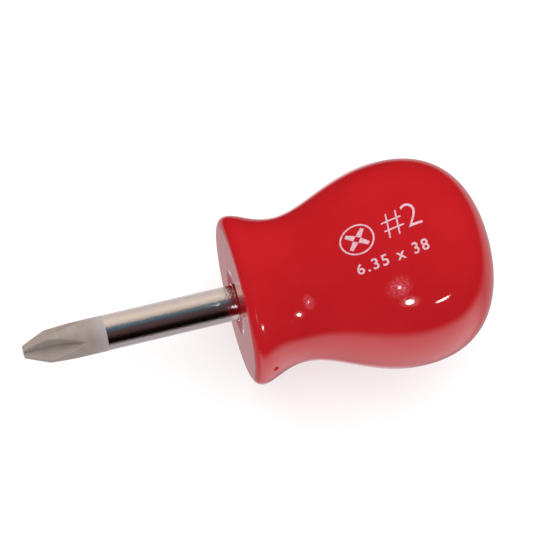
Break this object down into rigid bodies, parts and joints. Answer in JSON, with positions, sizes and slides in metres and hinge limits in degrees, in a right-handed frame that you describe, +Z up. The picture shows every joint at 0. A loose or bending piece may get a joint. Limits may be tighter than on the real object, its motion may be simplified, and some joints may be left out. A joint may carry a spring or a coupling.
{
  "type": "stubby screwdriver",
  "caption": "Stubby cross-point screwdriver: a short round chromed blade with a matt ground tip, moulded into a glossy red bulb handle.",
  "frame": {"origin": "centre of the blade's blunt end, on the tool's axis", "axes": "+X along the tool's axis from the tip to the butt, +Z up with the tool on its side and its size mark on top"},
  "size_m": [0.0838, 0.0368, 0.0368],
  "materials": {
    "handle_plastic": "gloss",
    "blade_chrome": "polished",
    "size_mark_ink": "satin"
  },
  "bodies": {
    "root": {"handle": "handle_plastic", "blade": "blade_chrome"}
  },
  "joints": []
}
